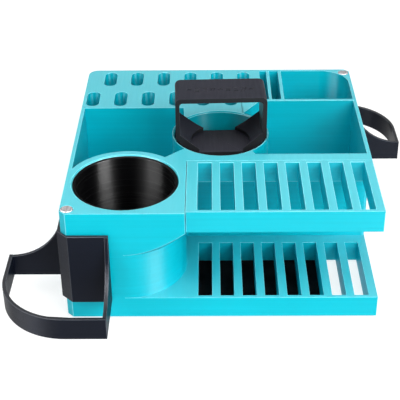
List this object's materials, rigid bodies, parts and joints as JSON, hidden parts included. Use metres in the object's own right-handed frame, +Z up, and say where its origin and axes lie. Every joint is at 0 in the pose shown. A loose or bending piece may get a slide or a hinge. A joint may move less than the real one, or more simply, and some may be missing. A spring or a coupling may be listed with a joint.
{
  "type": "tool storage caddy",
  "caption": "Desktop tool caddy with bins, long tool holes, stacked plier racks, lift-out scrap cup, carry handle and two corner loop holders.",
  "frame": {"origin": "on the table, under the middle of the whole outline", "axes": "+Z up, the plier racks and scrap cup at the front towards -Y, +X to the right seen from the front"},
  "size_m": [0.346, 0.353, 0.1416],
  "materials": {
    "body_cyan": "printed, satin",
    "rack_cyan": "printed, satin",
    "cup_black": "gloss",
    "handle_black": "printed, satin",
    "holder_black": "printed, semi-gloss",
    "magnet": "nickel plated",
    "pad_rubber": "matt"
  },
  "bodies": {
    "tray": {"main_body": "body_cyan", "upper_plier_rack": "rack_cyan", "holder_front_left": "holder_black", "holder_rear_right": "holder_black", "magnet_front_left": "magnet", "magnet_rear_right": "magnet", "base_pad": "pad_rubber"},
    "scrap_cup": {"scrap_cup": "cup_black"},
    "carry_handle": {"carry_handle": "handle_black"}
  },
  "joints": [
    {"name": "scrap_cup_lift", "type": "slide", "parent": "tray", "child": "scrap_cup", "axis": [0, 0, 1], "range_m": [0, 0.12]},
    {"name": "carry_handle_lift", "type": "slide", "parent": "tray", "child": "carry_handle", "axis": [0, 0, 1], "range_m": [0, 0.06]}
  ]
}
